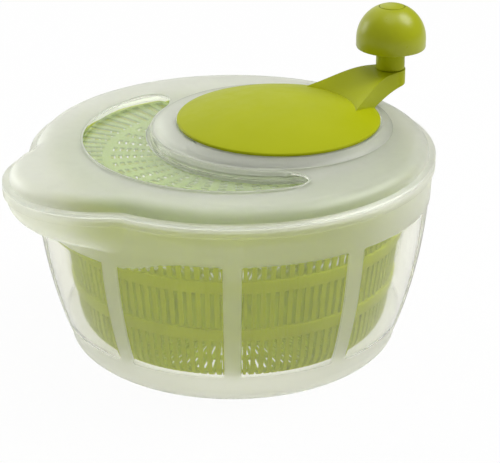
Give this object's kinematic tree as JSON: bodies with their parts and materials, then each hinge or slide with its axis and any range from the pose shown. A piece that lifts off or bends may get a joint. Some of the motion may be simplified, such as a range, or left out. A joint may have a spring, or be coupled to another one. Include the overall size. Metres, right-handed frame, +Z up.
{
  "type": "salad spinner",
  "caption": "Hand-cranked salad spinner: bowl with pouring spout, slotted spinning basket, geared lid with see-through window and turning knob.",
  "frame": {"origin": "centre of the bowl's flat base", "axes": "+Z up along the basket's axis, -X towards the pouring spout, +X towards the crank axis and its arm at rest"},
  "size_m": [0.291, 0.2498, 0.2026],
  "materials": {
    "frosted_plastic": "translucent frosted polypropylene with polished clear windows",
    "green_translucent": "slightly translucent satin moulding",
    "green_plastic": "opaque satin moulding with fine grain",
    "nylon": "natural moulded nylon",
    "steel": "stainless, turned"
  },
  "bodies": {
    "bowl": {"bowl": "frosted_plastic", "pivot_pin": "steel"},
    "basket": {"basket": "green_translucent"},
    "lid": {"lid_shell": "frosted_plastic", "bezel_ring": "frosted_plastic", "pinion_bush": "nylon"},
    "drive": {"pinion_gear": "nylon", "drive_hub": "green_translucent", "drive_plate": "green_translucent", "thrust_washer": "steel", "drive_screw": "steel"},
    "crank": {"crank_cover": "green_plastic", "crank_axle": "steel", "crank_washer": "nylon", "crank_clip": "steel", "ring_gear": "nylon", "gear_screw_1": "steel", "gear_screw_2": "steel", "gear_screw_3": "steel", "knob_pin": "steel"},
    "knob": {"knob_stem": "green_plastic", "knob_dome": "green_plastic", "knob_plug": "green_plastic"}
  },
  "joints": [
    {"name": "lid_lift", "type": "slide", "parent": "bowl", "child": "lid", "axis": [0, 0, 1], "range_m": [0, 0.12]},
    {"name": "basket_spin", "type": "hinge", "parent": "bowl", "child": "basket", "pos_m": [0, 0, 0.024], "axis": [0, 0, 1], "continuous": true},
    {"name": "drive_spin", "type": "hinge", "parent": "lid", "child": "drive", "pos_m": [0, 0, 0.124], "axis": [0, 0, 1], "continuous": true},
    {"name": "crank_spin", "type": "hinge", "parent": "lid", "child": "crank", "pos_m": [0.03375, 0, 0.14], "axis": [0, 0, 1], "continuous": true},
    {"name": "knob_spin", "type": "hinge", "parent": "crank", "child": "knob", "pos_m": [0.11875, 0, 0.17], "axis": [0, 0, 1], "continuous": true}
  ],
  "couplings": [
    {"joint": "drive_spin", "follows": "basket_spin", "ratio": 1},
    {"joint": "crank_spin", "follows": "basket_spin", "ratio": 0.25}
  ]
}
